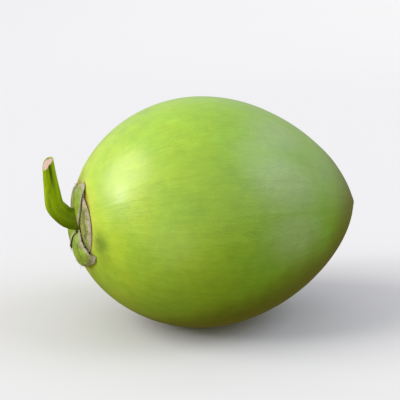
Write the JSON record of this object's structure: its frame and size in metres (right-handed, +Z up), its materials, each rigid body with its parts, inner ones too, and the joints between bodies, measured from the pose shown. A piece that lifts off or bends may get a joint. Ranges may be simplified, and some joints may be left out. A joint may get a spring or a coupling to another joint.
{
  "type": "green coconut",
  "caption": "Whole green coconut as picked, lying on a small flat spot, with smooth waxy husk, leathery cap lobes at its base and a curved cut stalk stub.",
  "frame": {"origin": "on the flat spot that the husk rests on, straight below the centre of mass", "axes": "+X along the fruit from the stalk end to the tip, +Z up, away from the surface that it rests on"},
  "size_m": [0.2366, 0.1656, 0.1625],
  "materials": {
    "husk_skin": "satin",
    "petal": "matte",
    "sepal": "matte",
    "stalk": "satin"
  },
  "bodies": {
    "root": {"husk": "husk_skin", "petal_1": "petal", "petal_2": "petal", "petal_3": "petal", "sepal_1": "sepal", "sepal_2": "sepal", "sepal_3": "sepal", "stalk": "stalk"}
  },
  "joints": []
}
